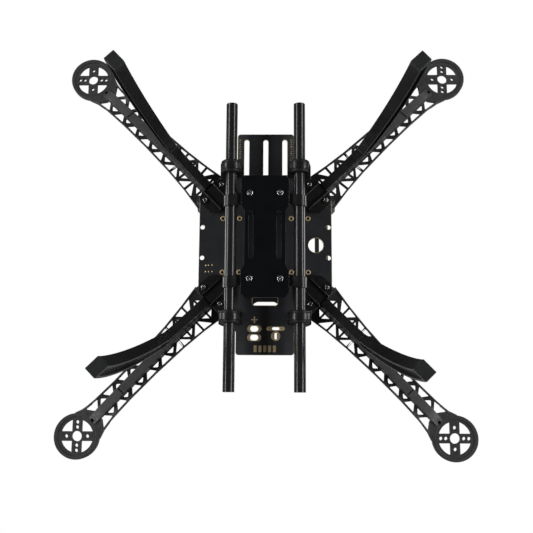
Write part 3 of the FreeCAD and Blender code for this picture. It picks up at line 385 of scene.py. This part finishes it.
# Points closer than this are one.
WELD = 0.002 * MM
TILE_SNAP = 0.0001 * MM

# In degrees: faces that meet at less are one flat, and edges that are sharper get rounded.
SAME_FLAT = 0.8
SHARP_EDGE = 35.0


def finished(name, bm, node, slot=None):
    """Turn a bmesh into a piece that rides with the body of a CAD node."""
    mesh = bpy.data.meshes.new(name)
    bmesh.ops.recalc_face_normals(bm, faces=bm.faces)
    bm.to_mesh(mesh)
    bm.free()
    for polygon in mesh.polygons:
        polygon.use_smooth = True
    piece = bpy.data.objects.new(name, mesh)
    bpy.context.scene.collection.objects.link(piece)
    dress(piece, slot or SLOT_OF[node])
    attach(piece, BODY_OF[node])
    return piece


def winding(outline, place):
    """How many times a flat outline goes round a place."""
    turns = 0
    for index, end in enumerate(outline):
        start = outline[index - 1]
        side = (end.x - start.x) * (place.y - start.y) - (place.x - start.x) * (end.y - start.y)
        if start.y <= place.y < end.y and side > 0.0:
            turns += 1
        elif end.y <= place.y < start.y and side < 0.0:
            turns -= 1
    return turns


def retiled(bm):
    """Cut every flat with more than four corners into clean triangles."""
    for face in [face for face in bm.faces if len(face.verts) > 4]:
        corners = list(face.verts)
        middle = face.calc_center_median()
        turn = face.normal.to_track_quat("Z", "Y").inverted()
        outline = [(turn @ (vert.co - middle)).xy for vert in corners]
        sides = [list(range(len(outline)))]
        points, _, tiles, sources, _, _ = delaunay_2d_cdt(outline, [], sides, 1, TILE_SNAP)
        back = turn.inverted()
        verts = []
        for point, source in zip(points, sources):
            if source:
                verts.append(corners[source[0]])
            else:
                verts.append(bm.verts.new(middle + back @ Vector((point.x, point.y, 0.0))))
        for tile in tiles:
            spot = sum((points[index] for index in tile), Vector((0.0, 0.0))) / len(tile)
            if winding(outline, spot) > 0:
                three = [verts[index] for index in tile]
                if len(set(three)) == 3 and not bm.faces.get(three):
                    bm.faces.new(three)
        bm.faces.remove(face)


def applied(piece):
    """Bake the modifiers of a piece into its mesh."""
    graph = bpy.context.evaluated_depsgraph_get()
    mesh = bpy.data.meshes.new_from_object(piece.evaluated_get(graph), depsgraph=graph)
    piece.modifiers.clear()
    piece.data = mesh


def worked(piece, width, segments, angle=SHARP_EDGE):
    """Round every edge sharper than the angle in degrees, and keep the flats flat."""
    bevel = piece.modifiers.new("edges", "BEVEL")
    bevel.width = width
    bevel.segments = segments
    bevel.limit_method = "ANGLE"
    bevel.angle_limit = math.radians(angle)
    bevel.use_clamp_overlap = False
    applied(piece)
    bm = bmesh.new()
    bm.from_mesh(piece.data)
    retiled(bm)
    bm.to_mesh(piece.data)
    bm.free()
    for polygon in piece.data.polygons:
        polygon.use_smooth = True
    weighted = piece.modifiers.new("flats", "WEIGHTED_NORMAL")
    weighted.mode = "FACE_AREA"
    weighted.weight = 100
    applied(piece)


def softened(node, name, width, segments=2):
    """Replace a CAD node by a copy of it with worked edges."""
    bm = bmesh.new()
    bm.from_mesh(NODES[node].data)
    bmesh.ops.remove_doubles(bm, verts=bm.verts, dist=WELD)
    bmesh.ops.dissolve_limit(bm, angle_limit=math.radians(SAME_FLAT), verts=bm.verts, edges=bm.edges)
    piece = finished(name, bm, node)
    worked(piece, width, segments)
    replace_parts(piece, node)


def lathe(bm, profile, place, segments):
    """Turn a closed profile of (radius, distance along Y) points about a Y axis through a place."""
    lie_along_y = Matrix.Rotation(math.radians(-90.0), 3, "X")
    rings = []
    for step in range(segments):
        angle = 2.0 * math.pi * step / segments
        ring = []
        for radius, height in profile:
            point = Vector((radius * math.cos(angle), radius * math.sin(angle), height))
            ring.append(bm.verts.new(Vector(place) + lie_along_y @ point))
        rings.append(ring)
    for index, ring in enumerate(rings):
        following = rings[(index + 1) % segments]
        for low in range(len(profile)):
            high = (low + 1) % len(profile)
            bm.faces.new((ring[low], following[low], following[high], ring[high]))


def islands(node):
    """Lowest and highest corner of the box round each loose solid of a CAD node, in a steady order."""
    bm = bmesh.new()
    bm.from_mesh(NODES[node].data)
    bmesh.ops.remove_doubles(bm, verts=bm.verts, dist=WELD)
    left = set(bm.verts)
    found = []
    while left:
        stack = [next(iter(left))]
        low = Vector((math.inf, math.inf, math.inf))
        high = -low
        while stack:
            vert = stack.pop()
            if vert not in left:
                continue
            left.discard(vert)
            for axis in range(3):
                low[axis] = min(low[axis], vert.co[axis])
                high[axis] = max(high[axis], vert.co[axis])
            stack.extend(edge.other_vert(vert) for edge in vert.link_edges)
        found.append((low, high))
    bm.free()
    return sorted(found, key=lambda box: (round(box[0].x, 4), round(box[0].y, 4)))


# ---------------------------------------------------------------- fasteners

# Points around a screw.
AROUND = 48

# Parts of the shank's radius: its blunt tip, and how far up the tip's chamfer reaches.
TIP_WIDTH = 0.82
TIP_REACH = 0.25

# The head's side from the seat up, as (part of its height, part of its radius), and the dome above it.
HEAD_SIDE = ((0.0, 0.97), (0.06, 1.0), (0.30, 0.985))
DOME_STEPS = (0.2, 0.4, 0.6, 0.8, 0.92)
DOME_START = 0.30
DOME_FOOT = 0.99
DOME_TOP = 0.75

# The recess, as (part of the head's height, part of its own width) from the mouth down, and its floor.
RECESS_SIDE = ((1.0, 1.06), (0.96, 1.0), (0.25, 0.92))
RECESS_FLOOR = 0.18

# Half widths of the recesses, as parts of the head's radius.
HEXAGON_HALF = 0.56
CROSS_REACH = 0.62
CROSS_HALF = 0.15

# Each screw stands at its own turn, in radians.
FIRST_TURN = 0.3
NEXT_TURN = 1.9

SCREW_EDGE = 0.06 * MM
SCREW_SHARP = 40.0


def hexagon_reach(angle, across):
    """Distance from the centre to the side of a hexagon with the given half width across flats."""
    return across / math.cos((angle + math.pi / 6.0) % (math.pi / 3.0) - math.pi / 6.0)


def cross_reach(angle, reach, half):
    """Distance from the centre to the edge of a cross with two equal bars."""
    cosine = max(abs(math.cos(angle)), 1e-6)
    sine = max(abs(math.sin(angle)), 1e-6)
    return max(min(reach / cosine, half / sine), min(half / cosine, reach / sine))


def disc(radius):
    """The same distance from the centre all round."""
    return lambda angle: radius


def recess(drive, radius):
    """Distance from the centre to the wall of a head's recess, as a function of the angle."""
    if drive == "hex":
        return lambda angle: hexagon_reach(angle, HEXAGON_HALF * radius)
    return lambda angle: cross_reach(angle, CROSS_REACH * radius, CROSS_HALF * radius)


def loop(bm, centre, height, reach_at, turn):
    """A ring of vertices whose distance from the centre is a function of the angle."""
    ring = []
    for step in range(AROUND):
        angle = 2.0 * math.pi * step / AROUND
        reach = reach_at(angle)
        across = centre[0] + reach * math.cos(angle + turn)
        along = centre[1] + reach * math.sin(angle + turn)
        ring.append(bm.verts.new((across, along, height)))
    return ring


def bridge(bm, first, second):
    for index in range(len(first)):
        after = (index + 1) % len(first)
        bm.faces.new((first[index], first[after], second[after], second[index]))


def screw_head(bm, centre, seat, out, radius, height, shank, shank_end, drive, turn):
    """A domed head on a face, with a hexagon or cross recess, and its shank.

    out is -1 for a head that hangs below the face and +1 for one that stands on it.
    """
    levels = [
        (shank_end, disc(TIP_WIDTH * shank)),
        (shank_end + out * TIP_REACH * shank, disc(shank)),
        (seat, disc(shank))]
    for rise, share in HEAD_SIDE:
        levels.append((seat + out * rise * height, disc(share * radius)))
    for step in DOME_STEPS:
        rise = DOME_START + (1.0 - DOME_START) * math.sin(step * math.pi / 2.0)
        share = DOME_TOP + (DOME_FOOT - DOME_TOP) * math.cos(step * math.pi / 2.0)
        levels.append((seat + out * rise * height, disc(share * radius)))
    for rise, share in RECESS_SIDE:
        levels.append((seat + out * rise * height, recess(drive, share * radius)))
    rings = [loop(bm, centre, level, reach_at, turn) for level, reach_at in levels]
    for first, second in zip(rings, rings[1:]):
        bridge(bm, first, second)
    for ring, depth in ((rings[0], shank_end), (rings[-1], seat + out * RECESS_FLOOR * height)):
        middle = bm.verts.new((centre[0], centre[1], depth))
        for index in range(AROUND):
            bm.faces.new((ring[index], ring[(index + 1) % AROUND], middle))


def screws(node, name, out, head_height, shank, drive):
    """All the screws of a node, each at its own place and at its own turn."""
    bm = bmesh.new()
    for number, (low, high) in enumerate(islands(node)):
        centre = ((low.x + high.x) / 2.0, (low.y + high.y) / 2.0)
        radius = (high.x - low.x) / 2.0
        seat = low.z + head_height if out < 0 else high.z - head_height
        shank_end = high.z if out < 0 else low.z
        turn = FIRST_TURN + NEXT_TURN * number
        screw_head(bm, centre, seat, out, radius, head_height, shank, shank_end, drive, turn)
    piece = finished(name, bm, node)
    worked(piece, SCREW_EDGE, 2, SCREW_SHARP)
    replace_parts(piece, node)


# ---------------------------------------------------------------- turned rubber and tubes

CORNER_STEPS = 3

# The rubber ring.  Depths go inwards from the lips, and starts go outwards from the edge of the seat.
RING_SEGMENTS = 64
RING_ROUND = 0.4 * MM
RING_DEPTH = 3.75 * MM
SEAT_DEPTH = 1.2 * MM
SEAT_HALF = 2.9 * MM
RIM_DEPTH = 0.1 * MM
NICK_DEPTH = 0.35 * MM
NICK_START = 0.6 * MM
LIP_START = 0.9 * MM
LIP_BREAK = 0.9 * MM

RAIL_SEGMENTS = 96
RAIL_WALL = 1.0 * MM
RAIL_BREAK = 0.22 * MM


def rounded_profile(corners, radius):
    """A closed profile with every corner rounded, as (radius, height) points."""
    points = []
    count = len(corners)
    for index in range(count):
        corner = Vector(corners[index])
        before = Vector(corners[index - 1]) - corner
        after = Vector(corners[(index + 1) % count]) - corner
        trim = min(radius, 0.45 * before.length, 0.45 * after.length)
        start = corner + before.normalized() * trim
        end = corner + after.normalized() * trim
        for step in range(CORNER_STEPS + 1):
            share = step / CORNER_STEPS
            point = start.lerp(corner, share).lerp(corner.lerp(end, share), share)
            points.append((point.x, point.y))
    return points


def turned_measures(node):
    """Centre, outer radius and half length of a node that was turned about Y."""
    low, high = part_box(node)
    return (low + high) / 2.0, (high.x - low.x) / 2.0, (high.y - low.y) / 2.0


def turned(node, name, corners, centre, rounding, segments):
    """Replace a CAD node by a turned piece with rounded corners."""
    bm = bmesh.new()
    lathe(bm, rounded_profile(corners, rounding), centre, segments)
    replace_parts(finished(name, bm, node), node)


def rubber_ring(node, name):
    """A grooved rubber ring: two full lips, each with a fine rim inside it, and the seat between them."""
    centre, lip, half = turned_measures(node)
    bore = lip - RING_DEPTH
    seat = lip - SEAT_DEPTH
    upper = [
        (seat, SEAT_HALF), (lip - RIM_DEPTH, SEAT_HALF), (lip - NICK_DEPTH, SEAT_HALF + NICK_START),
        (lip, SEAT_HALF + LIP_START), (lip, half - LIP_BREAK), (lip - LIP_BREAK, half), (bore, half)]
    lower = [(radius, -height) for radius, height in reversed(upper)]
    turned(node, name, lower + upper, centre, RING_ROUND, RING_SEGMENTS)


def rail(node, name):
    """A tube with lightly broken ends."""
    centre, outer, half = turned_measures(node)
    inner = outer - RAIL_WALL
    corners = [(inner, -half), (outer, -half), (outer, half), (inner, half)]
    turned(node, name, corners, centre, RAIL_BREAK, RAIL_SEGMENTS)


# ---------------------------------------------------------------- board marks

# A mark starts inside the board and stands this far out of it.
MARK_ROOT = 0.02 * MM
MARK_HEIGHT = 0.03 * MM
MARK_CLIP = 0.22

# Test points beside the right rail, in millimetres.
TEST_POINTS = [
    (49.9, -18.9), (46.7, -18.9), (52.4, -19.2), (49.9, -24.6), (46.7, -24.6), (52.4, -24.8),
    (49.4, -30.9), (52.9, -35.8), (52.9, -38.5)]
TEST_POINT_SIZE = (1.1 * MM, 1.4 * MM)

# Pairs of plain dashes beside the slots of the nose: side and number of rows, then measures in millimetres.
DASH_COLUMNS = ((1.0, 9), (-1.0, 12))
DASH_ACROSS = 23.1
DASH_APART = 0.45
DASH_FRONT = 96.0
DASH_PITCH = 2.1
DASH_LENGTHS = (0.9, 0.5, 0.7)
DASH_WIDTH = 0.35


def chip(bm, centre, width, depth, low, high):
    """A thin raised mark with clipped corners."""
    clip = MARK_CLIP * min(width, depth)
    x, y = width / 2.0, depth / 2.0
    outline = [
        (x - clip, -y), (x, -y + clip), (x, y - clip), (x - clip, y),
        (clip - x, y), (-x, y - clip), (-x, clip - y), (clip - x, -y)]
    bottom = [bm.verts.new((centre[0] + a, centre[1] + b, low)) for a, b in outline]
    top = [bm.verts.new((centre[0] + a, centre[1] + b, high)) for a, b in outline]
    bridge(bm, bottom, top)
    bm.faces.new(bottom)
    bm.faces.new(list(reversed(top)))


def board_marks():
    """Plated test points beside the right rail and two columns of dashes on the nose."""
    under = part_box("lower_plate")[0].z
    low, high = under - MARK_HEIGHT, under + MARK_ROOT
    bm = bmesh.new()
    for across, along in TEST_POINTS:
        chip(bm, (across * MM, along * MM), *TEST_POINT_SIZE, low, high)
    for side, rows in DASH_COLUMNS:
        for row in range(rows):
            length = DASH_LENGTHS[row % len(DASH_LENGTHS)] * MM
            for step in (-DASH_APART, DASH_APART):
                place = ((side * DASH_ACROSS + step) * MM, (DASH_FRONT - DASH_PITCH * row) * MM)
                chip(bm, place, DASH_WIDTH * MM, length, low, high)
    finished("board_marks", bm, "gold_pads", "gold")


# ---------------------------------------------------------------- assembly

CORNERS = ("front_right", "front_left", "rear_left", "rear_right")

make_stage()
MATERIALS.update(make_materials())
for node_name, node in NODES.items():
    dress(node, SLOT_OF[node_name])

for corner in CORNERS:
    softened(f"arm_{corner}", f"arm_moulding_{corner}", 0.28 * MM)
    softened(f"leg_{corner}", f"leg_moulding_{corner}", 0.3 * MM, 3)
    softened(f"foot_pad_{corner}", f"sole_{corner}", 0.5 * MM, 3)
softened("lower_plate", "lower_board", 0.25 * MM)
softened("upper_plate", "upper_board", 0.12 * MM)
softened("battery_tray", "tray_board", 0.25 * MM)
for corner in sorted(CORNERS):
    softened(f"rail_hanger_{corner}", f"hanger_moulding_{corner}", 0.5 * MM, 3)
    softened(f"tray_clamp_{corner}", f"clamp_moulding_{corner}", 0.4 * MM, 3)
    rubber_ring(f"rubber_ring_{corner}", f"grommet_{corner}")
for side in ("left", "right"):
    rail(f"rail_{side}", f"tube_{side}")
screws("leg_screws", "leg_screw_set", -1, head_height=1.5 * MM, shank=1.5 * MM, drive="hex")
screws("tray_screws", "tray_screw_set", -1, head_height=1.7 * MM, shank=1.5 * MM, drive="cross")
screws("hanger_screws", "hanger_screw_set", -1, head_height=1.3 * MM, shank=1.0 * MM, drive="cross")
screws("upper_plate_screws", "upper_screw_set", 1, head_height=1.4 * MM, shank=1.2 * MM, drive="hex")
softened("tray_nuts", "tray_nut_set", 0.2 * MM)
softened("hanger_nuts", "hanger_nut_set", 0.15 * MM)
softened("gold_pads", "gold_plating", 0.04 * MM, 1)
board_marks()
